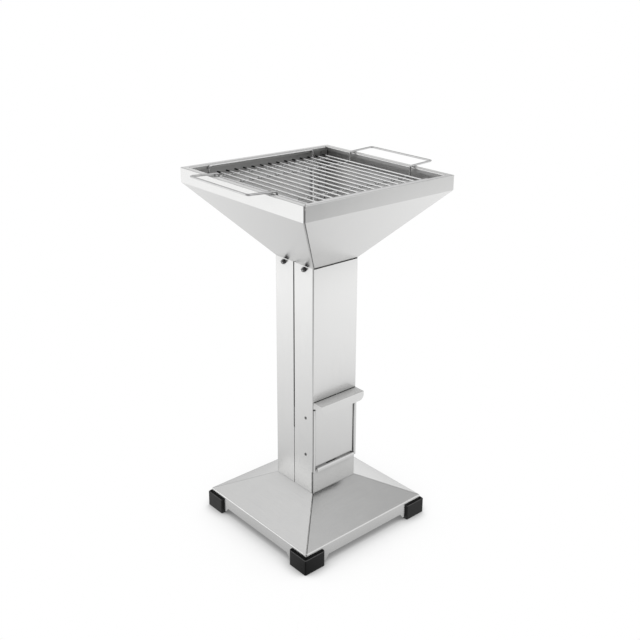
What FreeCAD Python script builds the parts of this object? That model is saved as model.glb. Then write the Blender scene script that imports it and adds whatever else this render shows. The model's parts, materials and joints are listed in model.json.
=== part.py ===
"""Free-standing charcoal grill: a square sheet-steel fire bowl on a square column and a pyramid base.

Millimetres, +Z up. The origin is on the floor under the middle of the base, and the ash drawer
faces -Y. The bowl and the base are each two identical halves, turned half a turn about Z.
"""
import FreeCAD, Part
import math
import os

# Sheet metal
SHEET = 1.5
BEND_RADIUS = 3.0
SEAM_GAP = 1.2
SEAM_OFFSET = 3.0
SEAM_TAB_WIDTH = 16.0
JOINT_FIT = 0.1

# Fire bowl
RIM_WIDTH = 430.0
RIM_HEIGHT = 34.0
FUNNEL_HEIGHT = 163.0
RIM_EDGE_RADIUS = 2.0
FLANGE_WIDTH = 15.0
FLANGE_RETURN = 10.0
COLLAR_DEPTH = 24.0

# Column
COLUMN_WIDTH = 134.0
COLUMN_HEIGHT = 562.5
FRONT_TOP_GAP = 2.5
COLUMN_SEAM = 4.0
COLUMN_SEAM_LOW = 1.8
SEAM_STEP_HEIGHT = 150.5
COLUMN_FLANGE = 16.0

# Drawer opening in the column front
SILL_HEIGHT = 66.5
OPENING_HEIGHT = 172.0
SHOULDER_DROP = 20.0
HEM_BELOW_LIP = 9.0
HEM_WIDTH = 6.5
HEM_GAP = 2.5
SILL_LIP_WIDTH = 115.0
SILL_LIP_DROP = 4.5
SILL_LIP_GAP = 6.5
SILL_SEAM = 1.0
SILL_FLANGE = 15.0

# Drawer guides
GUIDE_LEDGE = 13.0
GUIDE_FRONT_SETBACK = 3.0
GUIDE_LENGTH = 120.0
GUIDE_HEAD_ROOM = 1.0

# Ash drawer
DRAWER_SIDE_GAP = 0.5
DRAWER_TOP_GAP = 1.0
DRAWER_SILL_GAP = 3.0
TRAY_SHEET = 1.2
TRAY_WIDTH = 115.0
TRAY_HEIGHT = 130.0
TRAY_REAR_GAP = 4.0
TRAY_CORNER = 4.0
HANDLE_REACH = 30.0
HANDLE_LIP = 21.5
HANDLE_LIP_CORNER = 13.0

# Pyramid base
BASE_WIDTH = 367.0
SLOPE_HEIGHT = 53.3
SKIRT_HEIGHT = 39.6
BASE_EDGE_RADIUS = 3.5
BASE_FLANGE = 19.0
CUTOUT_HEIGHT = 12.0
CUTOUT_WIDTH_LOW = 251.0
CUTOUT_WIDTH_HIGH = 231.0

# Corner feet
FOOT_WALL = 6.1
FOOT_INNER_WALL = 7.0
FOOT_ARM = 56.5
FOOT_SOLE = 7.6
FOOT_TOP_GAP = 7.4
FOOT_BEVEL = 3.0
FOOT_ROUND = 2.0

# Fasteners
BOLT_DIAMETER = 6.0
BOLT_HOLE = 6.6
BOLT_HEAD_FLATS = 10.0
BOLT_HEAD_HEIGHT = 4.0
NUT_FLATS = 10.0
NUT_HEIGHT = 5.0
NUT_CHAMFER = 0.6
NUT_THREAD_GAP = 0.05
BOLT_END_OUT = 5.0
BOWL_BOLT_SPREAD = 72.0
BOWL_BOLT_DROP = 9.0
BASE_BOLT_SPREAD = 60.0
BASE_BOLT_INSET = 9.0
RIVET_HEAD = 7.0
RIVET_HEAD_HEIGHT = 2.0
RIVET_SHANK = 4.0
RIVET_TAIL = 6.0
RIVET_TAIL_HEIGHT = 1.0
RIVET_FIT = 0.1
RIVET_Y = -41.6
LOWER_RIVET_RISE = 25.0
UPPER_RIVET_DROP = 10.5

# Charcoal grate
CHARCOAL_DROP = 115.0
CHARCOAL_WIRE = 5.0
CHARCOAL_CORNER = 30.0
CHARCOAL_BAR = 4.0
CHARCOAL_PITCH = 18.0
LIFTER_TOP_DROP = 3.0
LIFTER_WIDTH = 304.0
LIFTER_RIM_GAP = 1.5
LIFTER_FOOT_INSET = 5.0
LIFTER_KNEE_DROP = 45.0
LIFTER_BEND = 8.0
SEAT_GAP = 0.3

# Grill grate
GRILL_DROP = 18.0
GRILL_BAR = 4.0
GRILL_PITCH = 24.0
GRILL_SIDE_GAP = 4.0
GRILL_END_GAP = 1.5
GRILL_ROD = 5.0
GRILL_ROD_SPREAD = 336.0
HANDLE_WIRE = 5.0
HANDLE_SPREAD = 202.0
HANDLE_TOE = 8.0
HANDLE_OUTREACH = 47.0
HANDLE_RISE = 3.5
HANDLE_BEND = 6.0

# Derived places
SKIRT_BOTTOM = FOOT_SOLE
BASE_EDGE = SKIRT_BOTTOM + SKIRT_HEIGHT
BASE_TOP = BASE_EDGE + SLOPE_HEIGHT
CUTOUT_TOP = SKIRT_BOTTOM + CUTOUT_HEIGHT
FOOT_HEIGHT = BASE_EDGE - FOOT_TOP_GAP
COLUMN_FOOT = BASE_TOP
COLUMN_TOP = COLUMN_FOOT + COLUMN_HEIGHT
RIM_BOTTOM = COLUMN_TOP + FUNNEL_HEIGHT
RIM_TOP = RIM_BOTTOM + RIM_HEIGHT
RIM_HALF = RIM_WIDTH / 2
COLUMN_HALF = COLUMN_WIDTH / 2
COLUMN_INNER = COLUMN_HALF - SHEET
BASE_HALF = BASE_WIDTH / 2
BEND_INNER = BEND_RADIUS - SHEET
FLANGE_HALF = RIM_HALF - FLANGE_WIDTH
FUNNEL_RUN = (RIM_HALF - COLUMN_HALF) / (RIM_BOTTOM - COLUMN_TOP)
FUNNEL_SIDE = SHEET * math.sqrt(1 + FUNNEL_RUN ** 2)
SLOPE_RISE = (BASE_TOP - BASE_EDGE) / (BASE_HALF - COLUMN_HALF)
SLOPE_DEPTH = SHEET * math.sqrt(1 + SLOPE_RISE ** 2)
SEAM_STEP_Z = COLUMN_FOOT + SEAM_STEP_HEIGHT
SILL_LIP_TOP = COLUMN_FOOT + SILL_HEIGHT
OPENING_TOP = SILL_LIP_TOP + OPENING_HEIGHT
OPENING_SHOULDER = OPENING_TOP - SHOULDER_DROP
HEM_BOTTOM = SILL_LIP_TOP - HEM_BELOW_LIP
GUIDE_FLOOR = SILL_LIP_TOP + DRAWER_SILL_GAP
GUIDE_ROOF = GUIDE_FLOOR + TRAY_HEIGHT + GUIDE_HEAD_ROOM
RIVET_LEVELS = (GUIDE_FLOOR + LOWER_RIVET_RISE, GUIDE_ROOF - UPPER_RIVET_DROP)
CHARCOAL_Z = RIM_TOP - CHARCOAL_DROP
LIFTER_Y = FLANGE_HALF - LIFTER_RIM_GAP - CHARCOAL_WIRE / 2
GRILL_BAR_LENGTH = 2 * (LIFTER_Y - CHARCOAL_WIRE / 2 - GRILL_END_GAP)
FAR = 2 * (RIM_WIDTH + BASE_WIDTH)


def vec(x, y, z):
    return FreeCAD.Vector(x, y, z)


def box(x0, x1, y0, y1, z0, z1):
    """Axis-aligned block between two corners."""
    return Part.makeBox(x1 - x0, y1 - y0, z1 - z0, vec(x0, y0, z0))


def cylinder(diameter, start, direction, length):
    return Part.makeCylinder(diameter / 2, length, start, direction)


def fuse(shapes):
    """One solid from shapes that overlap or share faces, with seams between coplanar faces removed."""
    result = shapes[0]
    if len(shapes) > 1:
        result = shapes[0].fuse(shapes[1:])
    return result.removeSplitter()


def turned(shape, degrees):
    """A copy turned about the column's axis."""
    copy = shape.copy()
    copy.rotate(vec(0, 0, 0), vec(0, 0, 1), degrees)
    return copy


def mirrored_y(shape):
    return shape.mirror(vec(0, 0, 0), vec(0, 1, 0))


def mirrored_x(shape):
    return shape.mirror(vec(0, 0, 0), vec(1, 0, 0))


def rounded_square(half, radius, z):
    """Closed wire of a square with rounded corners, centred on the axis at height z."""
    edges = []
    for quarter in range(4):
        turn = math.radians(90 * quarter)
        cos, sin = math.cos(turn), math.sin(turn)

        def place(x, y):
            return vec(x * cos - y * sin, x * sin + y * cos, z)

        flat = half - radius
        mid = flat + radius * math.sqrt(0.5)
        edges.append(Part.LineSegment(place(half, -flat), place(half, flat)).toShape())
        edges.append(Part.Arc(place(half, flat), place(mid, mid), place(flat, half)).toShape())
    return Part.Wire(edges)


def block(half, radius, z0, z1):
    """Upright prism on a rounded square."""
    return Part.Face(rounded_square(half, radius, z0)).extrude(vec(0, 0, z1 - z0))


def frustum(half0, z0, half1, z1, radius):
    """Solid between two rounded squares of different size."""
    wires = [rounded_square(half0, radius, z0), rounded_square(half1, radius, z1)]
    return Part.makeLoft(wires, True, True)


def loop_edges(shape, half, z):
    """Edges of the horizontal loop at height z whose points reach the given half width."""
    found = []
    for edge in shape.Edges:
        bounds = edge.BoundBox
        level = abs(bounds.ZMin - z) < 0.01 and abs(bounds.ZMax - z) < 0.01
        reach = max(abs(bounds.XMin), abs(bounds.XMax), abs(bounds.YMin), abs(bounds.YMax))
        if level and abs(reach - half) < 0.01:
            found.append(edge)
    return found


def diagonal_region(z0, z1, inset):
    """Plan area of a left half: it meets its twin along the diagonal from -X-Y to +X+Y.

    The parting line lies SEAM_OFFSET past the corner, so that each half wraps one corner.
    """
    step = SEAM_OFFSET / math.sqrt(2)
    points = [(-FAR, -step + inset), (0, -step + inset), (0, step + inset), (FAR, step + inset),
              (FAR, FAR), (-FAR, FAR)]
    root = math.sqrt(0.5)
    corners = [vec((along - across) * root, (along + across) * root, z0) for along, across in points]
    return Part.Face(Part.makePolygon(corners + corners[:1])).extrude(vec(0, 0, z1 - z0))


def corner_strip(z0, z1):
    """Plan area at the -X-Y corner that the seam tab of a left half covers."""
    step = SEAM_OFFSET / math.sqrt(2)
    low = -step - SEAM_TAB_WIDTH * math.sqrt(0.5)
    high = -step + SEAM_GAP / 2 + SHEET
    root = math.sqrt(0.5)
    points = [(-FAR, low), (0, low), (0, high), (-FAR, high)]
    corners = [vec((along - across) * root, (along + across) * root, z0) for along, across in points]
    return Part.Face(Part.makePolygon(corners + corners[:1])).extrude(vec(0, 0, z1 - z0))


def funnel_half(z, depth):
    """Half width of the funnel at height z, at a depth inside its outer face in sheet thicknesses."""
    return COLUMN_HALF + (z - COLUMN_TOP) * FUNNEL_RUN - depth * FUNNEL_SIDE


def bowl_space(depth, top):
    """Everything inside the bowl's outer face less a depth in sheet thicknesses, up to a height."""
    side = RIM_HALF - depth * SHEET
    radius = max(BEND_RADIUS - depth * SHEET, BEND_RADIUS - BEND_INNER)
    turn_z = COLUMN_TOP + (side + depth * FUNNEL_SIDE - COLUMN_HALF) / FUNNEL_RUN
    cone = frustum(funnel_half(COLUMN_TOP, depth), COLUMN_TOP, side, turn_z, radius)
    return fuse([cone, block(side, radius, turn_z, top)])


def make_bowl_half():
    """Left half of the fire bowl: funnel, rim, inward flange, its return, collar and seam tab."""
    skin = bowl_space(0, RIM_TOP)
    skin = skin.makeFillet(RIM_EDGE_RADIUS, loop_edges(skin, RIM_HALF, RIM_TOP))
    hollow = bowl_space(1, RIM_TOP - SHEET)
    mouth = block(FLANGE_HALF, BEND_INNER, RIM_TOP - 2 * SHEET, RIM_TOP + SHEET)
    drop = block(FLANGE_HALF + SHEET, BEND_RADIUS, RIM_TOP - FLANGE_RETURN, RIM_TOP - SHEET)
    drop = drop.cut(block(FLANGE_HALF, BEND_INNER, RIM_TOP - FLANGE_RETURN - SHEET, RIM_TOP))
    collar_half = COLUMN_INNER - JOINT_FIT
    collar_top = COLUMN_TOP + 2 * SHEET
    collar = block(collar_half, BEND_INNER, COLUMN_TOP - COLLAR_DEPTH, collar_top)
    collar = collar.cut(skin.common(box(-FAR, FAR, -FAR, FAR, collar_top, RIM_TOP)))
    throat = block(collar_half - SHEET, BEND_INNER / 2, COLUMN_TOP - COLLAR_DEPTH - SHEET, collar_top + SHEET)
    shell = fuse([skin.cut(hollow).cut(mouth), collar]).cut(throat)
    shell = fuse([shell, drop])
    shell = shell.makeFillet(BEND_RADIUS, loop_edges(shell, FLANGE_HALF, RIM_TOP))
    shell = shell.makeFillet(BEND_INNER, loop_edges(shell, FLANGE_HALF + SHEET, RIM_TOP - SHEET))
    shell = shell.common(diagonal_region(COLUMN_TOP - FAR, RIM_TOP + FAR, SEAM_GAP / 2))
    tab = bowl_space(1, RIM_TOP - FLANGE_RETURN).cut(bowl_space(2, RIM_TOP))
    tab = tab.common(corner_strip(COLUMN_TOP + FLANGE_RETURN, RIM_TOP))
    shell = fuse([shell, tab])
    for side in (-1, 1):
        hole = cylinder(BOLT_HOLE, vec(-FAR, side * BOWL_BOLT_SPREAD / 2, COLUMN_TOP - BOWL_BOLT_DROP),
                        vec(1, 0, 0), FAR)
        shell = shell.cut(hole)
    return shell


def base_space(depth, bottom):
    """Everything inside the base's outer face less a depth in sheet thicknesses."""
    side = BASE_HALF - depth * SHEET
    radius = max(BEND_RADIUS - depth * SHEET, BEND_RADIUS - BEND_INNER)
    top = BASE_TOP - depth * SHEET
    turn_z = BASE_EDGE + (BASE_HALF - side) * SLOPE_RISE - depth * SLOPE_DEPTH
    peak_half = side - (top - turn_z) / SLOPE_RISE
    cone = frustum(side, turn_z, peak_half, top, radius)
    return fuse([cone, block(side, radius, bottom, turn_z)])


def make_base_half():
    """Left half of the pyramid base: slope, skirt with cut-outs, top flange and seam tab."""
    skin = base_space(0, SKIRT_BOTTOM)
    skin = skin.makeFillet(BASE_EDGE_RADIUS, loop_edges(skin, BASE_HALF, BASE_EDGE))
    hollow = base_space(1, SKIRT_BOTTOM - SHEET)
    well = block(COLUMN_HALF - BASE_FLANGE, BEND_INNER, BASE_EDGE, BASE_TOP + SHEET)
    shell = skin.cut(hollow).cut(well)
    low = CUTOUT_WIDTH_LOW / 2
    high = CUTOUT_WIDTH_HIGH / 2
    corners = [vec(-low, -FAR, SKIRT_BOTTOM - SHEET), vec(low, -FAR, SKIRT_BOTTOM - SHEET),
               vec(high, -FAR, CUTOUT_TOP), vec(-high, -FAR, CUTOUT_TOP)]
    cutout = Part.Face(Part.makePolygon(corners + corners[:1])).extrude(vec(0, 2 * FAR, 0))
    shell = shell.cut([cutout, turned(cutout, 90)])
    shell = shell.common(diagonal_region(-FAR, FAR, SEAM_GAP / 2))
    tab = base_space(1, BASE_EDGE).cut(base_space(2, SKIRT_BOTTOM))
    tab = tab.common(corner_strip(BASE_EDGE, BASE_TOP - 2 * SHEET))
    shell = fuse([shell, tab])
    return shell.cut([base_bolt_hole(x, y) for x, y in base_bolt_places()])


def base_bolt_places():
    """Bolts that hold the column's turned-in flanges to the base, two on each side."""
    reach = COLUMN_HALF - BASE_BOLT_INSET
    half = BASE_BOLT_SPREAD / 2
    places = []
    for side in (-1, 1):
        for along in (-half, half):
            places.append((side * reach, along))
            places.append((along, side * reach))
    return places


def base_bolt_hole(x, y):
    return cylinder(BOLT_HOLE, vec(x, y, BASE_EDGE), vec(0, 0, 1), BASE_TOP)


def column_tube(z0, z1):
    return block(COLUMN_HALF, BEND_RADIUS, z0, z1).cut(block(COLUMN_INNER, BEND_INNER, z0, z1))


def column_flanges():
    """Turned-in strips at the column's foot, mitred clear of each other at the corners."""
    ring = block(COLUMN_INNER + SHEET / 2, BEND_INNER, COLUMN_FOOT, COLUMN_FOOT + SHEET)
    inner = COLUMN_HALF - COLUMN_FLANGE
    ring = ring.cut(block(inner, BEND_INNER, COLUMN_FOOT - SHEET, COLUMN_FOOT + 2 * SHEET))
    notch = Part.makeBox(FAR, 2 * BEND_RADIUS, FAR, vec(0, -BEND_RADIUS, -FAR / 2))
    notches = []
    for quarter in range(4):
        piece = notch.copy()
        piece.rotate(vec(0, 0, 0), vec(0, 0, 1), 45 + 90 * quarter)
        notches.append(piece)
    return ring.cut(notches)


def bowl_bolt_holes():
    height = COLUMN_TOP - BOWL_BOLT_DROP
    return [cylinder(BOLT_HOLE, vec(-FAR / 2, side * BOWL_BOLT_SPREAD / 2, height), vec(1, 0, 0), FAR)
            for side in (-1, 1)]


def seam_slot():
    """Space between the two column shells, wider above the drawer guides than beside them."""
    wide = box(-FAR, FAR, -COLUMN_SEAM / 2, COLUMN_SEAM / 2, SEAM_STEP_Z, COLUMN_TOP + SHEET)
    narrow = box(-FAR, FAR, -COLUMN_SEAM_LOW / 2, COLUMN_SEAM_LOW / 2, -FAR, SEAM_STEP_Z)
    return [wide, narrow]


def make_column_rear():
    shell = fuse([column_tube(COLUMN_FOOT, COLUMN_TOP), column_flanges()])
    shell = shell.cut(seam_slot())
    shell = shell.common(box(-FAR, FAR, 0, FAR, -FAR, FAR))
    holes = bowl_bolt_holes() + [base_bolt_hole(x, y) for x, y in base_bolt_places()]
    return shell.cut(holes)


def open_hem():
    """Edge beside the drawer opening, folded out and back over itself with a gap, on the -X side."""
    outer = HEM_GAP / 2 + SHEET
    edge_x = -(COLUMN_INNER - HEM_WIDTH + SHEET / 2)
    middle = vec(edge_x - outer, -COLUMN_HALF - HEM_GAP / 2, HEM_BOTTOM)
    height = OPENING_SHOULDER - HEM_BOTTOM
    ring = Part.makeCylinder(outer, height, middle).cut(Part.makeCylinder(HEM_GAP / 2, height, middle))
    bend = ring.common(box(middle.x, FAR, -FAR, FAR, HEM_BOTTOM, OPENING_SHOULDER))
    front = middle.y - outer
    flap = box(-COLUMN_HALF + SHEET / 2, middle.x, front, front + SHEET, HEM_BOTTOM, OPENING_SHOULDER)
    strip = box(-COLUMN_HALF + BEND_RADIUS, middle.x, -COLUMN_HALF, -COLUMN_INNER, HEM_BOTTOM, OPENING_SHOULDER)
    return fuse([bend, flap, strip])


def make_column_front():
    """Front shell: its face stops above the drawer opening, and its sides run down past it."""
    shell = fuse([column_tube(COLUMN_FOOT, COLUMN_TOP), column_flanges()])
    shell = shell.cut(seam_slot())
    shell = shell.common(box(-FAR, FAR, -FAR, 0, -FAR, FAR))
    face_y = -COLUMN_INNER + BEND_INNER
    wide = box(-COLUMN_INNER, COLUMN_INNER, -FAR, -COLUMN_INNER, OPENING_SHOULDER, OPENING_TOP)
    strip = COLUMN_HALF - BEND_RADIUS
    middle = box(-strip, strip, -FAR, face_y, HEM_BOTTOM, OPENING_SHOULDER)
    low = box(-COLUMN_INNER, COLUMN_INNER, -FAR, -COLUMN_INNER + COLUMN_FLANGE, -FAR, HEM_BOTTOM)
    low_sides = box(-FAR, FAR, -FAR, -COLUMN_HALF + BEND_RADIUS, -FAR, HEM_BOTTOM - SILL_SEAM)
    top = box(-COLUMN_HALF + BEND_RADIUS, COLUMN_HALF - BEND_RADIUS, -FAR, face_y,
              COLUMN_TOP - FRONT_TOP_GAP, FAR)
    shell = shell.cut([wide, middle, low, low_sides, top])
    hem = open_hem()
    shell = fuse([shell, hem, mirrored_x(hem)])
    holes = bowl_bolt_holes() + [base_bolt_hole(x, y) for x, y in base_bolt_places()]
    holes += [rivet_hole(side, level) for side in (-1, 1) for level in RIVET_LEVELS]
    return shell.cut(holes)


def make_sill_panel():
    """Panel under the drawer opening, with a rolled lip, side flanges and a foot flange."""
    half = COLUMN_INNER
    shoulder = HEM_BOTTOM - SILL_SEAM
    outer = SILL_LIP_GAP / 2 + SHEET
    lip_half = SILL_LIP_WIDTH / 2
    roll_z = SILL_LIP_TOP - outer
    front = -COLUMN_HALF
    back = -COLUMN_INNER
    middle = vec(-lip_half, front - SILL_LIP_GAP / 2, roll_z)
    along = vec(1, 0, 0)
    roll = Part.makeCylinder(outer, SILL_LIP_WIDTH, middle, along)
    roll = roll.cut(Part.makeCylinder(SILL_LIP_GAP / 2, SILL_LIP_WIDTH, middle, along))
    roll = roll.common(box(-FAR, FAR, -FAR, FAR, roll_z, FAR))
    neck = box(-lip_half, lip_half, front, back, shoulder, roll_z)
    apron_y = middle.y - outer
    apron = box(-lip_half, lip_half, apron_y, apron_y + SHEET, roll_z - SILL_LIP_DROP, roll_z)
    panel = box(-half, half, front, back, BASE_TOP, shoulder)
    foot_half = half - BEND_RADIUS
    foot = box(-foot_half, foot_half, front, -COLUMN_HALF + COLUMN_FLANGE, BASE_TOP, BASE_TOP + SHEET)
    sides = []
    for side in (-1, 1):
        edge = side * (half - JOINT_FIT)
        inner = side * (half - JOINT_FIT - SHEET)
        sides.append(box(min(edge, inner), max(edge, inner), back - SHEET / 2, back + SILL_FLANGE,
                         BASE_TOP + COLUMN_FLANGE, shoulder))
    panel = panel.cut([box(half - SILL_SEAM, FAR, -FAR, back - SHEET / 2, -FAR, FAR),
                       box(-FAR, -half + SILL_SEAM, -FAR, back - SHEET / 2, -FAR, FAR)])
    shape = fuse([panel, neck, roll, apron, foot] + sides)
    return shape.cut([base_bolt_hole(x, y) for x, y in base_bolt_places()])


def rivet_hole(side, level):
    """Hole for one guide rivet through guide and column wall."""
    return cylinder(RIVET_SHANK + 2 * RIVET_FIT, vec(0, RIVET_Y, level), vec(side, 0, 0), FAR)


def make_guide(side):
    """Channel on one inner wall of the column: back plate, floor ledge and a ledge over the tray."""
    wall = COLUMN_INNER - JOINT_FIT
    y0 = -COLUMN_INNER + GUIDE_FRONT_SETBACK
    y1 = y0 + GUIDE_LENGTH
    plate = box(wall - SHEET, wall, y0, y1, GUIDE_FLOOR - SHEET, GUIDE_ROOF + SHEET)
    ledge = box(wall - GUIDE_LEDGE, wall, y0, y1, GUIDE_FLOOR - SHEET, GUIDE_FLOOR)
    cover = box(wall - GUIDE_LEDGE, wall, y0, y1, GUIDE_ROOF, GUIDE_ROOF + SHEET)
    shape = fuse([plate, ledge, cover])
    inner_bend = [edge for edge in shape.Edges
                  if abs(edge.CenterOfMass.x - wall) < 0.01 and edge.BoundBox.YLength > GUIDE_LENGTH - 1]
    shape = shape.makeFillet(SHEET * 0.9, inner_bend)
    shape = shape.cut([rivet_hole(1, level) for level in RIVET_LEVELS])
    if side < 0:
        shape = mirrored_x(shape)
    return shape


def make_guide_rivets():
    """Four dome-head rivets, heads outside."""
    rivets = []
    wall_inside = COLUMN_INNER - JOINT_FIT - SHEET
    for side in (-1, 1):
        for level in RIVET_LEVELS:
            start = vec(side * (wall_inside - RIVET_TAIL_HEIGHT), RIVET_Y, level)
            shank = cylinder(RIVET_SHANK, start, vec(side, 0, 0), COLUMN_HALF - wall_inside + RIVET_TAIL_HEIGHT)
            tail = cylinder(RIVET_TAIL, start, vec(side, 0, 0), RIVET_TAIL_HEIGHT)
            rivets.append(fuse([shank, tail, dome(vec(side * COLUMN_HALF, RIVET_Y, level), side)]))
    return Part.Compound(rivets)


def dome(seat, side):
    """Shallow round head standing on a wall that faces along X."""
    radius = ((RIVET_HEAD / 2) ** 2 + RIVET_HEAD_HEIGHT ** 2) / (2 * RIVET_HEAD_HEIGHT)
    centre = vec(seat.x - side * (radius - RIVET_HEAD_HEIGHT), seat.y, seat.z)
    ball = Part.makeSphere(radius, centre)
    keep = cylinder(RIVET_HEAD + 1, seat, vec(side, 0, 0), RIVET_HEAD_HEIGHT + 1)
    return ball.common(keep)


def hexagon(flats, start, direction, length):
    """Hexagonal prism, one flat pair level."""
    radius = flats / math.sqrt(3)
    helper = vec(0, 0, 1) if abs(direction.z) < 0.5 else vec(1, 0, 0)
    side = direction.cross(helper)
    points = []
    for corner in range(7):
        angle = math.radians(60 * corner)
        points.append(start + side * (radius * math.cos(angle)) + helper * (radius * math.sin(angle)))
    return Part.Face(Part.makePolygon(points)).extrude(direction * length)


def make_bolt(head_seat, direction, length):
    """Bolt with a hexagon head behind its seat and a plain shank forward of it."""
    head = hexagon(BOLT_HEAD_FLATS, head_seat - direction * BOLT_HEAD_HEIGHT, direction, BOLT_HEAD_HEIGHT)
    shank = cylinder(BOLT_DIAMETER, head_seat, direction, length)
    tip = shank.Edges[0] if shank.Edges[0].CenterOfMass.sub(head_seat).Length > length / 2 else shank.Edges[2]
    return fuse([head, shank.makeChamfer(NUT_CHAMFER, [tip])])


def make_nut(seat, direction):
    """Hexagon nut on its seat, with both faces chamfered."""
    body = hexagon(NUT_FLATS, seat, direction, NUT_HEIGHT)
    corner_radius = NUT_FLATS / math.sqrt(3)
    cone_low = Part.makeCone(corner_radius - NUT_CHAMFER, corner_radius - NUT_CHAMFER + 2 * NUT_HEIGHT,
                             2 * NUT_HEIGHT, seat, direction)
    top = seat + direction * NUT_HEIGHT
    cone_high = Part.makeCone(corner_radius - NUT_CHAMFER, corner_radius - NUT_CHAMFER + 2 * NUT_HEIGHT,
                              2 * NUT_HEIGHT, top, direction * -1)
    bore = cylinder(BOLT_DIAMETER + 2 * NUT_THREAD_GAP, seat - direction, direction, NUT_HEIGHT + 2)
    return body.common(cone_low).common(cone_high).cut(bore)


def bowl_fasteners():
    """Bolts from inside the collar, with their nuts outside on the column's side faces."""
    head_seat = COLUMN_INNER - JOINT_FIT - SHEET
    length = COLUMN_HALF + NUT_HEIGHT + BOLT_END_OUT - head_seat
    height = COLUMN_TOP - BOWL_BOLT_DROP
    bolts = []
    nuts = []
    for side in (-1, 1):
        for along in (-1, 1):
            y = along * BOWL_BOLT_SPREAD / 2
            bolts.append(make_bolt(vec(side * head_seat, y, height), vec(side, 0, 0), length))
            nuts.append(make_nut(vec(side * COLUMN_HALF, y, height), vec(side, 0, 0)))
    return Part.Compound(bolts), Part.Compound(nuts)


def base_fasteners():
    """Bolts that go up through the base flange, with their nuts on the column's foot flange."""
    stack = 2 * SHEET
    length = stack + NUT_HEIGHT + NUT_THREAD_GAP + SHEET
    bolts = []
    nuts = []
    for x, y in base_bolt_places():
        bolts.append(make_bolt(vec(x, y, BASE_TOP - SHEET), vec(0, 0, 1), length))
        nuts.append(make_nut(vec(x, y, BASE_TOP + SHEET), vec(0, 0, 1)))
    return Part.Compound(bolts), Part.Compound(nuts)


def make_foot(quarter):
    """Corner foot: an angle with a slot that the skirt's lower corner stands in."""
    slot_outer = BASE_HALF + JOINT_FIT
    slot_inner = BASE_HALF - SHEET - JOINT_FIT
    outer = slot_outer + FOOT_WALL
    inner = slot_inner - FOOT_INNER_WALL
    arm = outer - FOOT_ARM
    shoulder = FOOT_HEIGHT - FOOT_BEVEL
    body = fuse([block(outer, BEND_RADIUS, 0, shoulder),
                 frustum(outer, shoulder, outer - FOOT_BEVEL, FOOT_HEIGHT, BEND_RADIUS)])
    body = body.cut(block(inner, BEND_RADIUS, -1, FOOT_HEIGHT + 1))
    body = body.common(fuse([box(-FAR, -inner, -FAR, -arm, -1, FOOT_HEIGHT + 1),
                             box(-FAR, -arm, -FAR, -inner, -1, FOOT_HEIGHT + 1)]))
    ends = [edge for edge in body.Edges if edge.BoundBox.ZLength > shoulder - 1
            and abs(max(edge.BoundBox.XMax, edge.BoundBox.YMax) + arm) < 0.01
            and min(edge.BoundBox.XMax, edge.BoundBox.YMax) < -outer + 0.01]
    body = body.makeFillet(FOOT_ROUND, ends)
    slot = block(slot_outer, BEND_RADIUS, SKIRT_BOTTOM, FOOT_HEIGHT + FAR)
    slot = slot.cut(block(slot_inner, BEND_INNER, SKIRT_BOTTOM - 1, FOOT_HEIGHT + FAR))
    return turned(body.cut(slot), 90 * quarter)


def make_tray():
    """Open box that catches the ash."""
    half = TRAY_WIDTH / 2
    y0 = -COLUMN_INNER
    y1 = COLUMN_INNER - TRAY_REAR_GAP
    z0 = GUIDE_FLOOR
    z1 = GUIDE_FLOOR + TRAY_HEIGHT
    outside = box(-half, half, y0, y1, z0, z1)
    uprights = [edge for edge in outside.Edges if edge.BoundBox.ZLength > TRAY_HEIGHT - 1]
    outside = outside.makeFillet(TRAY_CORNER, uprights)
    inside = box(-half + TRAY_SHEET, half - TRAY_SHEET, y0 + TRAY_SHEET, y1 - TRAY_SHEET, z0 + TRAY_SHEET, z1 + 1)
    uprights = [edge for edge in inside.Edges if edge.BoundBox.ZLength > TRAY_HEIGHT - TRAY_SHEET]
    return outside.cut(inside.makeFillet(TRAY_CORNER - TRAY_SHEET, uprights))


def make_drawer_front():
    """Front of the drawer: T-shaped panel bent out at its top into a handle with a rounded lip."""
    shoulder_half = COLUMN_INNER - DRAWER_SIDE_GAP
    panel_half = COLUMN_INNER - HEM_WIDTH + SHEET / 2 - DRAWER_SIDE_GAP
    top = OPENING_TOP - DRAWER_TOP_GAP
    bottom = SILL_LIP_TOP + DRAWER_TOP_GAP
    front = -COLUMN_HALF
    back = -COLUMN_INNER
    shoulder = OPENING_SHOULDER + DRAWER_SIDE_GAP
    reach = front - HANDLE_REACH
    panel = box(-panel_half, panel_half, front, back, bottom, shoulder + SHEET)
    upper = box(-shoulder_half, shoulder_half, front, back, shoulder, top)
    plate = box(-shoulder_half, shoulder_half, reach, back, top - SHEET, top)
    lip = box(-shoulder_half, shoulder_half, reach, reach + SHEET, top - HANDLE_LIP, top)
    round_edges = [edge for edge in lip.Edges
                   if edge.BoundBox.YLength > SHEET / 2 and edge.BoundBox.XLength < 0.01
                   and edge.BoundBox.ZLength < 0.01 and edge.BoundBox.ZMax < top - SHEET]
    lip = lip.makeFillet(HANDLE_LIP_CORNER, round_edges)
    shape = fuse([panel, upper, plate, lip])
    fold_edges = [edge for edge in shape.Edges
                  if edge.BoundBox.XLength > 2 * shoulder_half - 1 and abs(edge.CenterOfMass.z - top) < 0.01]
    return shape.makeFillet(SHEET * 1.3, fold_edges)


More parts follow.
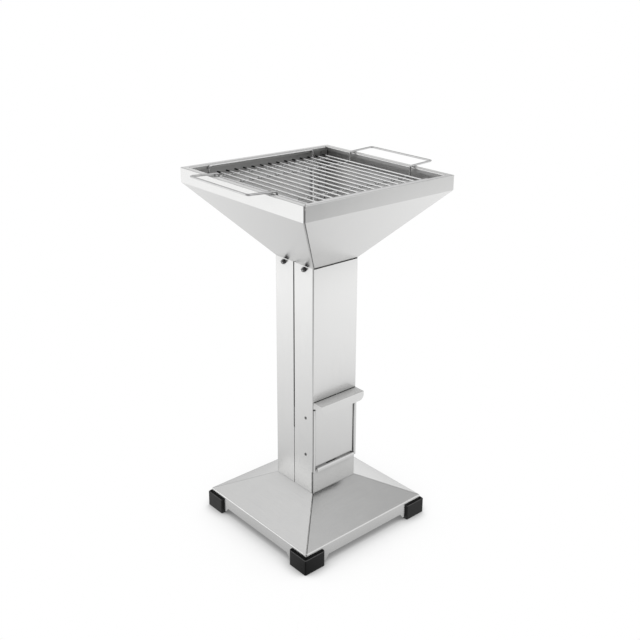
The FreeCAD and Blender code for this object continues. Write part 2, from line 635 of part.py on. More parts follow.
def bent_path(points, radius, closed=False):
    """Wire through points with a round bend of one radius at each inner point."""
    count = len(points)
    inner = range(count) if closed else range(1, count - 1)
    starts = {}
    ends = {}
    edges_at = {}
    for index in inner:
        before = points[index - 1]
        here = points[index]
        after = points[(index + 1) % count]
        into = (before - here).normalize()
        out = (after - here).normalize()
        half_turn = into.getAngle(out) / 2
        setback = radius / math.tan(half_turn)
        centre = here + (into + out).normalize() * (radius / math.sin(half_turn))
        first = here + into * setback
        last = here + out * setback
        middle = centre + (here - centre).normalize() * radius
        starts[index] = first
        ends[index] = last
        edges_at[index] = Part.Arc(first, middle, last).toShape()
    edges = []
    for index in range(count if closed else count - 1):
        following = (index + 1) % count
        line_start = ends.get(index, points[index])
        line_end = starts.get(following, points[following])
        edges.append(Part.LineSegment(line_start, line_end).toShape())
        if following in edges_at:
            edges.append(edges_at[following])
    return Part.Wire(edges)


def round_wire(points, diameter, radius, closed=False):
    """Round steel wire bent along a path."""
    path = bent_path(points, radius, closed)
    first = path.Edges[0]
    start = first.valueAt(first.FirstParameter)
    direction = first.tangentAt(first.FirstParameter)
    profile = Part.Wire([Part.makeCircle(diameter / 2, start, direction)])
    return path.makePipeShell([profile], True, False)


def charcoal_half():
    """Half width of the charcoal grate's frame, where its wire lies on the funnel's inner face."""
    stand_off = (CHARCOAL_WIRE / 2 + SEAT_GAP) * math.sqrt(1 + FUNNEL_RUN ** 2)
    return funnel_half(CHARCOAL_Z, 1) - stand_off


def make_charcoal_frame():
    half = charcoal_half()
    corners = [vec(-half, -half, CHARCOAL_Z), vec(half, -half, CHARCOAL_Z),
               vec(half, half, CHARCOAL_Z), vec(-half, half, CHARCOAL_Z)]
    return round_wire(corners, CHARCOAL_WIRE, CHARCOAL_CORNER, True)


def make_charcoal_bars():
    """Bars along X that lie on the frame and stop where its rounded corners start to turn away."""
    half = charcoal_half()
    height = CHARCOAL_Z + (CHARCOAL_WIRE + CHARCOAL_BAR) / 2
    bars = []
    each_side = math.floor((half - CHARCOAL_WIRE) / CHARCOAL_PITCH)
    for index in range(-each_side, each_side + 1):
        y = index * CHARCOAL_PITCH
        into_corner = max(0.0, abs(y) - (half - CHARCOAL_CORNER))
        reach = half - CHARCOAL_CORNER + math.sqrt(CHARCOAL_CORNER ** 2 - into_corner ** 2)
        bars.append(cylinder(CHARCOAL_BAR, vec(-reach, y, height), vec(1, 0, 0), 2 * reach))
    return Part.Compound(bars)


def make_lifter(side):
    """Wire bail of the charcoal grate: it rises beside the grill grate to just under the rim's top."""
    top_z = RIM_TOP - LIFTER_TOP_DROP
    slant = CHARCOAL_WIRE * math.sqrt(0.5)
    foot_x = charcoal_half() - CHARCOAL_CORNER - LIFTER_FOOT_INSET
    foot = (foot_x, charcoal_half() - slant, CHARCOAL_Z + slant)
    knee = (LIFTER_WIDTH / 2, LIFTER_Y, RIM_TOP - LIFTER_KNEE_DROP)
    head = (LIFTER_WIDTH / 2, LIFTER_Y, top_z)
    right = [vec(x, y, z) for x, y, z in (foot, knee, head)]
    left = [vec(-point.x, point.y, point.z) for point in reversed(right)]
    shape = round_wire(right + left, CHARCOAL_WIRE, LIFTER_BEND)
    if side < 0:
        shape = mirrored_y(shape)
    return shape


def grill_bars_each_side():
    """Bars on each side of the middle that leave room for the handles' legs inside the flange."""
    room = FLANGE_HALF - GRILL_SIDE_GAP - HANDLE_WIRE / 2 - HANDLE_TOE - GRILL_BAR / 2
    return math.floor(room / GRILL_PITCH + 0.5)


def grill_half():
    return (grill_bars_each_side() - 0.5) * GRILL_PITCH


def make_grill_bars():
    """Cooking bars along Y."""
    bars = []
    for index in range(2 * grill_bars_each_side()):
        x = index * GRILL_PITCH - grill_half()
        start = vec(x, -GRILL_BAR_LENGTH / 2, RIM_TOP - GRILL_DROP)
        bars.append(cylinder(GRILL_BAR, start, vec(0, 1, 0), GRILL_BAR_LENGTH))
    return Part.Compound(bars)


def make_grill_rods():
    """Cross rods welded under the cooking bars; the inner two end at the handles' toes."""
    height = RIM_TOP - GRILL_DROP - (GRILL_BAR + GRILL_ROD) / 2
    reach = grill_half() + GRILL_BAR / 2
    rows = (-GRILL_ROD_SPREAD / 2, -HANDLE_SPREAD / 2, HANDLE_SPREAD / 2, GRILL_ROD_SPREAD / 2)
    return Part.Compound([cylinder(GRILL_ROD, vec(-reach, y, height), vec(1, 0, 0), 2 * reach)
                          for y in rows])


def make_grill_handle(side):
    """Wire handle: from the end of a cross rod it turns up, crosses the rim and reaches past it."""
    toe_x = grill_half() + GRILL_BAR / 2
    leg_x = toe_x + HANDLE_TOE
    low = RIM_TOP - GRILL_DROP - (GRILL_BAR + GRILL_ROD) / 2
    over = RIM_TOP + SEAT_GAP + HANDLE_WIRE / 2
    y = HANDLE_SPREAD / 2
    toe = (toe_x, y, low)
    foot = (leg_x, y, low)
    bend = (leg_x, y, over)
    end = (RIM_HALF + HANDLE_OUTREACH, y, over + HANDLE_RISE)
    rear = [vec(px, py, pz) for px, py, pz in (toe, foot, bend, end)]
    front = [vec(point.x, -point.y, point.z) for point in reversed(rear)]
    shape = round_wire(rear + front, HANDLE_WIRE, HANDLE_BEND)
    if side < 0:
        shape = mirrored_x(shape)
    return shape


def build():
    """All pieces by name."""
    bowl = make_bowl_half()
    base = make_base_half()
    bowl_bolts, bowl_nuts = bowl_fasteners()
    base_bolts, base_nuts = base_fasteners()
    parts = {
        "bowl_half_left": bowl,
        "bowl_half_right": turned(bowl, 180),
        "column_front": make_column_front(),
        "column_rear": make_column_rear(),
        "sill_panel": make_sill_panel(),
        "drawer_guide_left": make_guide(-1),
        "drawer_guide_right": make_guide(1),
        "guide_rivets": make_guide_rivets(),
        "bowl_bolts": bowl_bolts,
        "bowl_nuts": bowl_nuts,
        "base_bolts": base_bolts,
        "base_nuts": base_nuts,
        "base_half_left": base,
        "base_half_right": turned(base, 180),
        "ash_tray": make_tray(),
        "drawer_front": make_drawer_front(),
        "charcoal_frame": make_charcoal_frame(),
        "charcoal_bars": make_charcoal_bars(),
        "charcoal_lifter_rear": make_lifter(1),
        "charcoal_lifter_front": make_lifter(-1),
        "grill_bars": make_grill_bars(),
        "grill_cross_rods": make_grill_rods(),
        "grill_handle_left": make_grill_handle(-1),
        "grill_handle_right": make_grill_handle(1),
    }
    for quarter, place in enumerate(("front_left", "front_right", "rear_right", "rear_left")):
        parts["foot_" + place] = make_foot(quarter)
    return parts


os.makedirs("parts", exist_ok=True)
for name, shape in build().items():
    print(name, "solids", len(shape.Solids), "volume", round(shape.Volume, 1), "valid", shape.isValid())
    shape.exportStep("parts/" + name + ".step")
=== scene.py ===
"""Studio view of a free-standing sheet-steel charcoal grill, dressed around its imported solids."""
import json
import math
import bpy
from mathutils import Matrix, Vector


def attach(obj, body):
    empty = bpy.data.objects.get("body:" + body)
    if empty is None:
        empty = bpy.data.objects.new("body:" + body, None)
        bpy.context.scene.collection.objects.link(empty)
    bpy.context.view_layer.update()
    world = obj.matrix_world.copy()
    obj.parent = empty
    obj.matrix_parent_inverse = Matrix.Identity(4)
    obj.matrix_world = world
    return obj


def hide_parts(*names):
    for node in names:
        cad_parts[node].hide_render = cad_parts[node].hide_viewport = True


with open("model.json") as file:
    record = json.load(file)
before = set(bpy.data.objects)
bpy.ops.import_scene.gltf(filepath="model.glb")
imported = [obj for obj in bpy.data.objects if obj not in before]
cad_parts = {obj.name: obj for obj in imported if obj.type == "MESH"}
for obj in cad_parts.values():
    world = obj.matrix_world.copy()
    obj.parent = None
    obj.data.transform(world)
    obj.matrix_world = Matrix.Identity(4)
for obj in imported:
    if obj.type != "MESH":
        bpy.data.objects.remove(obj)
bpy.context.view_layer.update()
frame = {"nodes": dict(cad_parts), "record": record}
nodes = frame["nodes"]

# Camera, from the photograph's perspective
CAMERA_PLACE = Vector((-1.278761, -1.509214, 1.308000))
CAMERA_YAW = math.radians(44.258)
CAMERA_PITCH = math.radians(18.275)
CAMERA_ROLL = math.radians(1.504)
FOCAL_PIXELS = 911.84
IMAGE_PIXELS = 640
OPTICAL_CENTRE = (377.02, 260.10)
SENSOR = 36.0

# Places on the object that its finishes depend on, in metres
FOOT_SHOULDER = 0.0368
THROAT_HALF = 0.066
THROAT_HEIGHT = 0.663
MOUTH_HALF = 0.214
MOUTH_HEIGHT = 0.826
FLANGE_UNDERSIDE = 0.8575
# Height below which the bowl's collar gets painted shade
COLLAR_SHADE_BELOW = 0.6632
# Start in Y of the painted dark reflection on the cooking bars' ends
DARK_ENDS_FROM = 0.178

# Seats of the fasteners, rivets and weld beads, in millimetres
COLUMN_FACE = 67.0
COLLAR_INSIDE = 63.9
BOWL_BOLT_HEIGHT = 654.0
BOWL_BOLT_SIDE = 36.0
BOWL_BOLT_LENGTH = 13.1
BASE_FLANGE_UNDERSIDE = 99.0
BASE_NUT_SEAT = 102.0
BASE_BOLT_FACE = 58.0
BASE_BOLT_SIDE = 30.0
BASE_BOLT_LENGTH = 9.55
RIVET_Y = -41.6
RIVET_HEIGHTS = (195.0, 290.5)
ROD_PLACES = (-168.0, -101.0, 101.0, 168.0)
ROD_TOP = 840.0
BAR_COUNT = 16
BAR_PITCH = 24.0

# Hexagon bolts and nuts, in millimetres
BOLT = 6.0
PITCH = 1.0
HEX_FLATS = 10.0
HEAD_THICK = 4.0
NUT_THICK = 5.0
NUT_COLLAR = 1.4

# Studio: brightness of the floor's glow in reflections, with painted shadow near the object, and of the
# sky
FLOOR_NEAR = 0.48
FLOOR_FAR = 1.15
FLOOR_REACH = 60
NEAR_FOOT = (-0.21, -0.21, 0)
SKY_LEVEL = 0.52
SKY_DARKEST = 0.02

# Soft boxes in the sky: direction, cosines at the edge and at full strength, and gain
SOFT_BOXES = (
    ((-0.05, 0.66, 0.75), 0.90, 0.99, 0.40),
    ((0.55, 0.80, 0.24), 0.93, 0.995, 0.46),
    ((0.60, -0.68, 0.40), 0.76, 0.97, 0.62),
    ((-0.68, 0.68, 0.12), 0.955, 0.995, 1.0),
    ((-0.70, 0.62, 0.36), 0.86, 0.97, 0.38),
    ((0.0, 0.0, 1.0), 0.76, 0.98, 0.62),
    ((-0.68, -0.70, 0.15), 0.45, 0.95, -0.4),
)


def make_camera():
    forward = Vector((math.sin(CAMERA_YAW) * math.cos(CAMERA_PITCH),
                      math.cos(CAMERA_YAW) * math.cos(CAMERA_PITCH),
                      -math.sin(CAMERA_PITCH)))
    level = forward.cross(Vector((0, 0, 1))).normalized()
    upward = level.cross(forward)
    right = level * math.cos(CAMERA_ROLL) + upward * math.sin(CAMERA_ROLL)
    up = upward * math.cos(CAMERA_ROLL) - level * math.sin(CAMERA_ROLL)
    data = bpy.data.cameras.new("camera")
    data.sensor_width = SENSOR
    data.lens = FOCAL_PIXELS * SENSOR / IMAGE_PIXELS
    data.shift_x = (IMAGE_PIXELS / 2 - OPTICAL_CENTRE[0]) / IMAGE_PIXELS
    data.shift_y = (OPTICAL_CENTRE[1] - IMAGE_PIXELS / 2) / IMAGE_PIXELS
    data.clip_end = 200
    camera = bpy.data.objects.new("camera", data)
    bpy.context.scene.collection.objects.link(camera)
    turn = Matrix((right, up, -forward)).transposed().to_4x4()
    camera.matrix_world = Matrix.Translation(CAMERA_PLACE) @ turn
    bpy.context.scene.camera = camera


class Nodes:
    """Short calls to build a node material."""

    def __init__(self, name):
        self.material = bpy.data.materials.new(name)
        self.material.use_nodes = True
        self.tree = self.material.node_tree
        self.tree.nodes.clear()
        self.out = self.add("ShaderNodeOutputMaterial")

    def add(self, kind, **settings):
        node = self.tree.nodes.new(kind)
        for key, value in settings.items():
            setattr(node, key, value)
        return node

    def link(self, source, target):
        self.tree.links.new(source, target)

    def value(self, node, socket, value):
        node.inputs[socket].default_value = value

    def coordinates(self, scale):
        """Object coordinates stretched by a scale per axis, in features per metre."""
        place = self.add("ShaderNodeTexCoord")
        mapping = self.add("ShaderNodeMapping")
        self.value(mapping, "Scale", scale)
        self.link(place.outputs["Object"], mapping.inputs["Vector"])
        return mapping.outputs["Vector"]

    def noise(self, scale, detail=2.0, rough=0.5):
        node = self.add("ShaderNodeTexNoise")
        self.value(node, "Scale", 1.0)
        self.value(node, "Detail", detail)
        self.value(node, "Roughness", rough)
        self.link(self.coordinates(scale), node.inputs["Vector"])
        return node.outputs["Fac"]

    def span(self, source, low, high, from_low=0.3, from_high=0.7):
        node = self.add("ShaderNodeMapRange")
        self.value(node, "From Min", from_low)
        self.value(node, "From Max", from_high)
        self.value(node, "To Min", low)
        self.value(node, "To Max", high)
        self.link(source, node.inputs["Value"])
        return node.outputs["Result"]

    def blend(self, factor, low, high):
        node = self.add("ShaderNodeMix", data_type="RGBA")
        node.inputs[6].default_value = (*low, 1)
        node.inputs[7].default_value = (*high, 1)
        self.link(factor, node.inputs[0])
        return node.outputs[2]

    def average(self, first, second, weight=0.5):
        node = self.add("ShaderNodeMix", data_type="FLOAT")
        self.value(node, 0, weight)
        self.link(first, node.inputs[2])
        self.link(second, node.inputs[3])
        return node.outputs[0]

    def principled(self, **sockets):
        shader = self.add("ShaderNodeBsdfPrincipled")
        for key, value in sockets.items():
            self.value(shader, key.replace("_", " "), value)
        self.link(shader.outputs["BSDF"], self.out.inputs["Surface"])
        return shader

    def math(self, operation, first, second=None, third=None, clamp=False):
        node = self.add("ShaderNodeMath", operation=operation, use_clamp=clamp)
        for socket, source in zip(node.inputs, (first, second, third)):
            if isinstance(source, (int, float)):
                socket.default_value = source
            elif source is not None:
                self.link(source, socket)
        return node.outputs[0]

    def place(self):
        """Object coordinates as three numbers."""
        split = self.add("ShaderNodeSeparateXYZ")
        self.link(self.add("ShaderNodeTexCoord").outputs["Object"], split.inputs[0])
        return split.outputs

    def shaded(self, colour, share):
        node = self.add("ShaderNodeMix", data_type="RGBA", blend_type="MULTIPLY")
        self.value(node, 0, 1.0)
        self.link(colour, node.inputs[6])
        self.link(share, node.inputs[7])
        return node.outputs[2]

    def with_painted_shade(self, colour, distance, dark, open_at=0.75):
        """A colour with painted shade, darkened in gaps and corners that are narrower than a distance.

        open_at is the share of open sky at which the full colour is reached.
        """
        shelter = self.add("ShaderNodeAmbientOcclusion", samples=6)
        self.value(shelter, "Distance", distance)
        return self.shaded(colour, self.span(shelter.outputs["AO"], dark, 1.0, 0.12, open_at))

    def painted_dark_ends(self, colour, patch, start):
        """Painted dark reflection at the ends: past a distance along Y the metal is painted nearly black,
        with an uneven edge.
        """
        reach = self.math("MULTIPLY_ADD", patch, 0.004, self.place()[1])
        return self.shaded(colour, self.span(reach, 1, 0.05, start, start + 0.005))

    def edge_highlight_mask(self, radius):
        """Mask for a painted highlight: one along convex and concave edges, zero on flat faces."""
        soft = self.add("ShaderNodeBevel", samples=6)
        self.value(soft, "Radius", radius)
        compare = self.add("ShaderNodeVectorMath", operation="DOT_PRODUCT")
        self.link(soft.outputs[0], compare.inputs[0])
        self.link(self.add("ShaderNodeNewGeometry").outputs["True Normal"], compare.inputs[1])
        return self.span(compare.outputs["Value"], 1, 0, 0.9, 0.985)

    def bump(self, source, strength, distance, normal=None):
        """A bumped normal, laid over another one where it is given."""
        node = self.add("ShaderNodeBump")
        if normal:
            self.link(normal, node.inputs["Normal"])
        self.value(node, "Strength", strength)
        self.value(node, "Distance", distance)
        self.link(source, node.inputs["Height"])
        return node.outputs["Normal"]


def brushed_steel(name, grain, tone=0.8, rough=0.22, corner=(0.03, 0.7), inner=None):
    """Satin stainless sheet: fine grain along one direction, faint smudges and a little waviness.

    grain is the features per metre along X, Y and Z; the lowest one runs along the brushing.
    corner gives the reach and the tone of the painted shade in corners, and inner a duller finish
    somewhere.
    """
    make = Nodes(name)
    shader = make.principled(Metallic=1.0)
    fine = make.noise(grain, detail=3.0, rough=0.6)
    broad = make.noise((9, 9, 7), detail=2.0)
    smudge = make.noise((38, 38, 31), detail=4.0, rough=0.6)
    low = (tone * 0.965, tone * 0.965, tone * 0.96)
    high = (tone * 1.03, tone * 1.028, tone * 1.02)
    mixed = make.average(fine, smudge, 0.35)
    roughness = make.span(make.average(fine, smudge, 0.5), rough - 0.02, rough + 0.02)
    colour = make.blend(make.span(mixed, 0, 1), low, high)
    if inner:
        share, extra = inner(make)
        colour = make.shaded(colour, share)
        roughness = make.math("ADD", roughness, extra)
    # Painted shade: darker in gaps narrower than 3.5 mm, then in corners within the corner reach.
    colour = make.with_painted_shade(colour, 0.0035, 0.15, 0.88)
    make.link(make.with_painted_shade(colour, *corner, 0.9), shader.inputs["Base Color"])
    make.link(roughness, shader.inputs["Roughness"])
    sway = make.bump(broad, 1.0, 0.0001)
    make.link(make.bump(fine, 0.12, 0.00004, sway), shader.inputs["Normal"])
    return make.material


def bowl_inside(make):
    """The bowl is rougher and a little darker inside, and its collar gets painted shade, 0.3 of its tone,
    where it shows below the funnel.
    """
    x, y, z = make.place()
    wide = make.math("MAXIMUM", make.math("ABSOLUTE", x), make.math("ABSOLUTE", y))
    skin = make.span(z, THROAT_HALF, MOUTH_HALF, THROAT_HEIGHT, MOUTH_HEIGHT)
    inside = make.math("MULTIPLY", make.math("LESS_THAN", wide, skin),
                       make.math("LESS_THAN", z, FLANGE_UNDERSIDE))
    collar_shade = make.math("LESS_THAN", z, COLLAR_SHADE_BELOW)
    share = make.math("MULTIPLY", make.span(inside, 1, 0.87, 0, 1), make.span(collar_shade, 1, 0.3, 0, 1))
    return share, make.span(inside, 0, 0.22, 0, 1)


def bright_wire(name, tone=0.62, rough=0.1, shade=0.2, reach=0.002, dark_ends_from=None):
    """Drawn bright wire, with faint drawing marks, dull patches and painted shade in its gaps; a start in
    Y given last paints its ends nearly black, as a painted dark reflection.
    """
    make = Nodes(name)
    shader = make.principled(Metallic=1.0)
    patch = make.noise((60, 60, 60), detail=4.0)
    marks = make.noise((900, 900, 900), detail=2.0)
    colour = make.blend(make.span(patch, 0, 1), (tone * 0.94,) * 3, (tone * 1.05,) * 3)
    if dark_ends_from:
        colour = make.painted_dark_ends(colour, patch, dark_ends_from)
    make.link(make.with_painted_shade(colour, reach, shade), shader.inputs["Base Color"])
    make.link(make.span(patch, rough - 0.03, rough + 0.04), shader.inputs["Roughness"])
    make.link(make.bump(marks, 0.15, 0.00003), shader.inputs["Normal"])
    return make.material


def moulded_plastic(name):
    """Black injection-moulded plastic: finely eroded faces, dull dark bevels, and a painted pale
    highlight under the top bevel and along the edges.
    """
    make = Nodes(name)
    shader = make.principled()
    speckle = make.noise((2600, 2600, 2600), detail=2.0)
    patch = make.noise((70, 70, 70), detail=4.0)
    height = make.place()[2]
    bevel = make.math("GREATER_THAN", height, FOOT_SHOULDER + 0.0014)
    # Painted highlight: a pale band at the lower edge of the top bevel, and a faint pale tint along all
    # edges.
    line = make.math("COMPARE", height, FOOT_SHOULDER + 0.0006, 0.0008)
    pale_highlight = make.math("MAXIMUM", make.math("MULTIPLY", line, make.span(patch, 0.7, 1.0)),
                     make.math("MULTIPLY", make.edge_highlight_mask(0.0012), 0.2))
    dark = make.add("ShaderNodeMix", data_type="RGBA")
    make.link(pale_highlight, dark.inputs[0])
    make.link(make.blend(make.span(patch, 0, 1), (0.003, 0.003, 0.0033), (0.006, 0.006, 0.0064)),
              dark.inputs[6])
    dark.inputs[7].default_value = (0.11, 0.11, 0.11, 1)
    make.link(dark.outputs[2], shader.inputs["Base Color"])
    make.link(make.span(bevel, 0.34, 0.08, 0, 1), shader.inputs["Specular IOR Level"])
    make.link(make.span(patch, 0.3, 0.4), shader.inputs["Roughness"])
    make.link(make.bump(speckle, 0.2, 0.00005), shader.inputs["Normal"])
    return make.material


ACROSS = (14, 14, 1600)
UPRIGHT = (1600, 1600, 14)
STEELS = {
    "bowl_steel": brushed_steel("bowl_brushed", ACROSS, inner=bowl_inside),
    "column_steel": brushed_steel("column_brushed", UPRIGHT, corner=(0.1, 0.1)),
    "base_steel": brushed_steel("base_brushed", ACROSS, corner=(0.06, 0.6)),
    "drawer_steel": brushed_steel("drawer_brushed", UPRIGHT),
    "tray_steel": brushed_steel("tray_mill", (500, 500, 500), 0.72, 0.34),
    "guide_steel": brushed_steel("guide_mill", (500, 500, 500), 0.72, 0.34),
    "fasteners": bright_wire("fastener_turned", 0.8, 0.12, 0.15, 0.0012),
    "charcoal_wire": bright_wire("charcoal_wire_bright", 0.9, 0.1),
    "grill_wire": bright_wire("grill_wire_bright", 0.64, 0.12),
    "foot_plastic": moulded_plastic("foot_moulded"),
}
FINISHES = {
    # The nuts' very dark tone is a painted dark reflection and shade on their flats.
    "nut": bright_wire("nut_painted_dark", 0.17, 0.14, 0.3, 0.0012),
    "bolt": bright_wire("bolt_bright", 0.78, 0.12, 0.05, 0.003),
    "rivet": bright_wire("rivet_head", 0.22, 0.1, 0.1, 0.002),
}
SPECIAL = {
    # The cooking bars' ends are painted nearly black as a dark reflection.
    "grill_bars": bright_wire("grill_bar_bright", 0.96, 0.08, 0.2, 0.002, DARK_ENDS_FROM),
    # The cross rods' lower tone and deeper occlusion darkening are painted shade from the bars lying on
    # them.
    "grill_cross_rods": bright_wire("grill_rod_shaded", 0.75, 0.14, 0.3, 0.005),
}


def dress_cad_nodes():
    for entry in frame["record"]["subparts"]:
        target = nodes[entry["node"]]
        target.data.materials.clear()
        target.data.materials.append(SPECIAL.get(entry["node"], STEELS[entry["material_slot"]]))


class Shape:
    """Points and faces of one piece, in millimetres until it is made."""

    def __init__(self):
        self.points = []
        self.faces = []

    def skin(self, rings, loop=False):
        """Faces between rings of equally many points; without a loop both ends are capped."""
        start = len(self.points)
        count = len(rings[0])
        for ring in rings:
            self.points.extend(ring)
        pairs = len(rings) if loop else len(rings) - 1
        for row in range(pairs):
            low = start + row * count
            high = start + (row + 1) % len(rings) * count
            for column in range(count):
                after = (column + 1) % count
                self.faces.append((low + column, low + after, high + after, high + column))
        if not loop:
            self.faces.append(tuple(range(start + count - 1, start - 1, -1)))
            self.faces.append(tuple(range(start + pairs * count, start + (pairs + 1) * count)))

    def make(self, name, slot, body, replaced=(), sharp=35, finish=None):
        mesh = bpy.data.meshes.new(name)
        mesh.from_pydata([Vector(point) / 1000 for point in self.points], [], self.faces)
        mesh.polygons.foreach_set("use_smooth", [True] * len(mesh.polygons))
        mesh.set_sharp_from_angle(angle=math.radians(sharp))
        mesh.materials.append(FINISHES[finish] if finish else STEELS[slot])
        piece = bpy.data.objects.new(name, mesh)
        bpy.context.scene.collection.objects.link(piece)
        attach(piece, body)
        if replaced:
            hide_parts(*replaced)
        return piece


def turned_rings(seat, direction, profile, sides=48):
    """Rings about an axis, from (height, radius) pairs; a radius may depend on angle and height."""
    axis = Vector(direction)
    helper = Vector((0, 0, 1)) if abs(axis.z) < 0.5 else Vector((1, 0, 0))
    across = helper.cross(axis)
    rings = []
    for height, radius in profile:
        ring = []
        for step in range(sides):
            angle = 2 * math.pi * step / sides
            reach = radius(angle, height) if callable(radius) else radius
            ring.append(Vector(seat) + axis * height
                        + across * (reach * math.cos(angle)) + helper * (reach * math.sin(angle)))
        rings.append(ring)
    return rings


def hexagon_radius(flats, face_radius, length):
    """Outline of a hexagon whose corners are cut by a 30 degree cone at both faces."""
    def radius(angle, height):
        corner = flats / 2 / math.cos((angle + math.pi / 6) % (math.pi / 3) - math.pi / 6)
        depth = min(height, length - height)
        return min(corner, face_radius + depth * math.sqrt(3))
    return radius


def thread_radius(diameter, pitch, length):
    """Outline of a screw thread that fades into a cone at its tip."""
    def radius(angle, height):
        turn = (height / pitch - angle / (2 * math.pi)) % 1
        groove = 0.54 * pitch * abs(2 * turn - 1)
        return min(diameter / 2 - groove, diameter / 2 - 0.7 + (length - height))
    return radius


def steps(start, end, count):
    return [start + (end - start) * index / count for index in range(count + 1)]


def add_nut(shape, liners, seat, direction):
    """Locking nut: a hexagon with a crimped collar that holds a dark nylon ring."""
    top = NUT_THICK - NUT_COLLAR
    outline = hexagon_radius(HEX_FLATS, 4.75, top)
    bore = BOLT / 2 + 0.05
    profile = [(0, bore)]
    profile += [(height, outline) for height in steps(0, 0.7, 4) + steps(top - 0.6, top, 4)]
    profile += [(top + 0.1, 4.55), (NUT_THICK - 0.5, 4.5), (NUT_THICK - 0.15, 4.35), (NUT_THICK, 4.1),
                (NUT_THICK - 0.1, 3.95), (NUT_THICK - 0.35, 3.95), (top, 3.95), (top, bore)]
    shape.skin(turned_rings(seat, direction, profile), loop=True)
    ring = [(top, bore), (top, 3.95), (NUT_THICK - 0.3, 3.95), (NUT_THICK - 0.25, 3.7),
            (NUT_THICK - 0.3, 3.3), (NUT_THICK - 0.5, bore)]
    liners.skin(turned_rings(seat, direction, ring), loop=True)


def add_bolt(shape, seat, direction, length):
    """Hexagon head behind its seat, and a threaded shank up to its coned tip."""
    back = [Vector(seat)[axis] - Vector(direction)[axis] * HEAD_THICK for axis in range(3)]
    outline = hexagon_radius(HEX_FLATS, 4.6, HEAD_THICK)
    levels = steps(0, 0.8, 4) + steps(HEAD_THICK - 0.8, HEAD_THICK, 4)
    shape.skin(turned_rings(back, direction, [(height, outline) for height in levels]))
    thread = thread_radius(BOLT, PITCH, length)
    levels = steps(0.02, length, int(length * 8))
    shape.skin(turned_rings(seat, direction, [(height, thread) for height in levels]))


def make_fasteners():
    """Bolts with nuts outside the column's side faces, and those that hold the column to the base."""
    bolts = Shape()
    nuts = Shape()
    liners = Shape()
    for side in (-1, 1):
        outward = (side, 0, 0)
        for y in (-BOWL_BOLT_SIDE, BOWL_BOLT_SIDE):
            add_bolt(bolts, (side * COLLAR_INSIDE, y, BOWL_BOLT_HEIGHT), outward, BOWL_BOLT_LENGTH)
            add_nut(nuts, liners, (side * COLUMN_FACE, y, BOWL_BOLT_HEIGHT), outward)
    bolts.make("bowl_bolts_threaded", "fasteners", "pedestal", ("bowl_bolts",), finish="bolt")
    nuts.make("bowl_nuts_chamfered", "fasteners", "pedestal", ("bowl_nuts",), finish="nut")
    bolts = Shape()
    nuts = Shape()
    upward = (0, 0, 1)
    for side in (-BASE_BOLT_FACE, BASE_BOLT_FACE):
        for along in (-BASE_BOLT_SIDE, BASE_BOLT_SIDE):
            for x, y in ((side, along), (along, side)):
                add_bolt(bolts, (x, y, BASE_FLANGE_UNDERSIDE), upward, BASE_BOLT_LENGTH)
                add_nut(nuts, liners, (x, y, BASE_NUT_SEAT), upward)
    bolts.make("base_bolts_threaded", "fasteners", "pedestal", ("base_bolts",), finish="bolt")
    nuts.make("base_nuts_chamfered", "fasteners", "pedestal", ("base_nuts",), finish="nut")
    liners.make("nut_nylon_rings", "foot_plastic", "pedestal")


def make_rivets():
    """Blind rivets: a domed head with the broken mandrel in its middle, and the upset tail inside."""
    rivets = Shape()
    head = [(0, 2.0), (0, 3.5), (0.35, 3.48), (0.8, 3.25), (1.2, 2.85), (1.55, 2.3), (1.8, 1.7),
            (1.9, 1.3), (1.85, 1.12), (1.2, 1.05), (0.9, 0.95), (1.25, 0.85), (1.35, 0.4), (1.38, 0.05)]
    tail = [(-4.1, 0.05), (-4.1, 2.4), (-3.9, 2.9), (-3.2, 3.0), (-3.1, 2.0)]
    for side in (-1, 1):
        for height in RIVET_HEIGHTS:
            seat = (side * COLUMN_FACE, RIVET_Y, height)
            rivets.skin(turned_rings(seat, (side, 0, 0), tail + head, 32))
    rivets.make("guide_rivets_domed", "fasteners", "pedestal", ("guide_rivets",),
                sharp=50, finish="rivet")


def make_weld_beads():
    """Resistance weld nuggets where the cooking bars lie on their cross rods."""
    beads = Shape()
    profile = [(-1.6, 0.3), (-1.3, 1.5), (-0.7, 2.35), (0, 2.7), (0.7, 2.35), (1.3, 1.5), (1.6, 0.3)]
    for row in ROD_PLACES:
        for column in range(BAR_COUNT):
            x = (column - (BAR_COUNT - 1) / 2) * BAR_PITCH
            swell = 1 + 0.12 * math.sin(7.3 * column + 0.31 * row)
            bead = [(height, radius * swell) for height, radius in profile]
            beads.skin(turned_rings((x, row, ROD_TOP), (0, 0, 1), bead, 14))
    beads.make("grill_weld_beads", "grill_wire", "grill_grate", sharp=80)


class Field(Nodes):
    """Node sums for the studio: a brightness that depends on a place or on a direction."""

    def toward(self, vector, direction):
        """Cosine between a unit vector and a fixed direction."""
        node = self.add("ShaderNodeVectorMath", operation="DOT_PRODUCT")
        self.link(vector, node.inputs[0])
        node.inputs[1].default_value = Vector(direction).normalized()
        return node.outputs["Value"]

    def smooth(self, source, start, end, low, high):
        node = self.add("ShaderNodeMapRange", interpolation_type="SMOOTHSTEP")
        self.value(node, "From Min", start)
        self.value(node, "From Max", end)
        self.value(node, "To Min", low)
        self.value(node, "To Max", high)
        self.link(source, node.inputs["Value"])
        return node.outputs["Result"]

    def pick(self, factor, first, second):
        node = self.add("ShaderNodeMixShader")
        self.link(factor, node.inputs[0])
        self.link(first, node.inputs[1])
        self.link(second, node.inputs[2])
        return node.outputs[0]


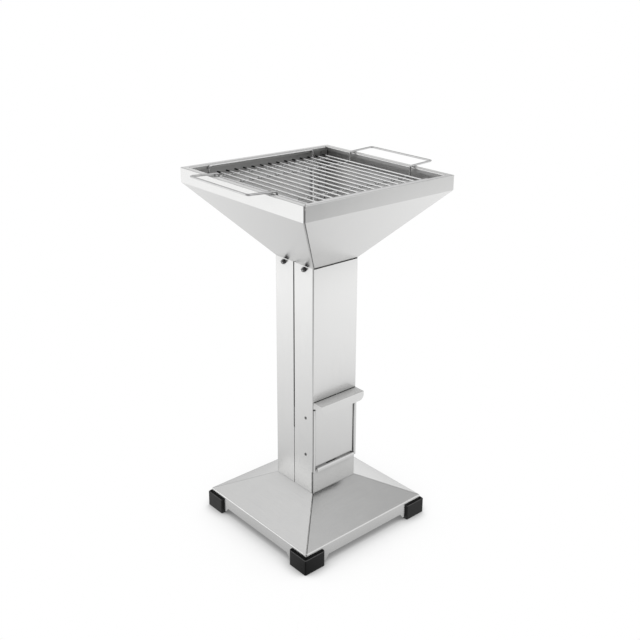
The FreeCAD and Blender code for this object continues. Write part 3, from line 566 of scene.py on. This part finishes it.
def floor_brightness(field):
    """How bright the floor glows in a reflection, as painted light: painted shadow beside the object and
    near the front foot, dim on the camera's side, and a painted bright band far off to the left.
    """
    place = field.add("ShaderNodeTexCoord").outputs["Object"]
    length = field.add("ShaderNodeVectorMath", operation="LENGTH")
    field.link(place, length.inputs[0])
    split = field.add("ShaderNodeSeparateXYZ")
    field.link(place, split.inputs[0])
    # Painted shadow beside the object: the glow rises from FLOOR_NEAR close by to FLOOR_FAR far off.
    near = field.math("POWER", field.span(length.outputs["Value"], 0, 1, 0.15, 1.85), 0.5)
    level = field.math("MULTIPLY_ADD", near, FLOOR_FAR - FLOOR_NEAR, FLOOR_NEAR)
    way = field.add("ShaderNodeVectorMath", operation="NORMALIZE")
    field.link(place, way.inputs[0])
    way = way.outputs["Vector"]
    near_foot = field.add("ShaderNodeVectorMath", operation="DISTANCE")
    field.link(place, near_foot.inputs[0])
    near_foot.inputs[1].default_value = NEAR_FOOT
    shares = (
        field.smooth(split.outputs["Y"], 1.9, 2.4, 1, 0.97),
        field.smooth(split.outputs["Y"], -2.6, -1.5, 0.68, 1),
        field.smooth(field.toward(place, (-0.64, -0.77, 0)), 0.2, 1.4, 1, 0.4),
        field.smooth(near_foot.outputs["Value"], 0.0, 0.14, 0.4, 1),
        field.smooth(field.toward(way, (0.12, 1, 0)), 0.86, 0.98, 1, 0.83),
    )
    for share in shares:
        level = field.math("MULTIPLY", level, share)
    # Painted bright band far off to the left, for the highlight on the near vertical bends.
    strip = field.math("MULTIPLY", field.smooth(field.toward(way, (-0.97, 0.25, 0)), 0.93, 0.99, 0, 1.2),
                       field.smooth(length.outputs["Value"], 2.2, 2.7, 0, 1))
    return field.math("MULTIPLY_ADD", level, strip, level)


def make_floor():
    mesh = bpy.data.meshes.new("floor")
    corners = [(x * FLOOR_REACH, y * FLOOR_REACH, 0) for x, y in ((-1, -1), (1, -1), (1, 1), (-1, 1))]
    mesh.from_pydata(corners, [], [(0, 1, 2, 3)])
    floor = bpy.data.objects.new("floor", mesh)
    bpy.context.scene.collection.objects.link(floor)
    field = Field("floor_white")
    paint = field.add("ShaderNodeBsdfDiffuse")
    field.value(paint, "Color", (0.8, 0.8, 0.8, 1))
    # Painted shadow on the floor: the white the camera sees is dimmed by occlusion from the object,
    # broadly and close by.
    shadows = []
    for reach, start, end, low in ((0.45, 0.06, 0.93, 0.2), (0.04, 0.3, 0.95, 0.6)):
        shelter = field.add("ShaderNodeAmbientOcclusion", samples=16)
        field.value(shelter, "Distance", reach)
        shadows.append(field.smooth(shelter.outputs["AO"], start, end, low, 1.0))
    white = field.add("ShaderNodeEmission")
    field.link(field.math("MULTIPLY", *shadows), white.inputs["Strength"])
    # Glossy rays see the floor as a glow, painted light with painted shadow near the object.
    mirror = field.add("ShaderNodeEmission")
    field.link(floor_brightness(field), mirror.inputs["Strength"])
    seen = field.add("ShaderNodeLightPath")
    shaded = field.pick(seen.outputs["Is Glossy Ray"], paint.outputs[0], mirror.outputs[0])
    field.link(field.pick(seen.outputs["Is Camera Ray"], shaded, white.outputs[0]),
               field.out.inputs["Surface"])
    mesh.materials.append(field.material)


class Sky(Field):
    """The studio around the object."""

    def __init__(self, name):
        self.world = bpy.data.worlds.new(name)
        self.world.use_nodes = True
        self.tree = self.world.node_tree
        self.tree.nodes.clear()
        self.out = self.add("ShaderNodeOutputWorld")


def make_world():
    sky = Sky("studio")
    bpy.context.scene.world = sky.world
    way = sky.add("ShaderNodeTexCoord").outputs["Generated"]
    level = SKY_LEVEL
    for direction, start, end, gain in SOFT_BOXES:
        level = sky.math("ADD", sky.smooth(sky.toward(way, direction), start, end, 0, gain), level)
    light = sky.add("ShaderNodeBackground")
    sky.link(sky.math("MAXIMUM", level, SKY_DARKEST), light.inputs["Strength"])
    white = sky.add("ShaderNodeBackground")
    sky.value(white, "Color", (1, 1, 1, 1))
    sky.value(white, "Strength", 1.0)
    seen = sky.add("ShaderNodeLightPath")
    sky.link(sky.pick(seen.outputs["Is Camera Ray"], light.outputs[0], white.outputs[0]),
             sky.out.inputs["Surface"])


make_camera()
make_floor()
make_world()
dress_cad_nodes()
make_fasteners()
make_rivets()
make_weld_beads()

scene = bpy.context.scene
scene.view_settings.view_transform = "Standard"
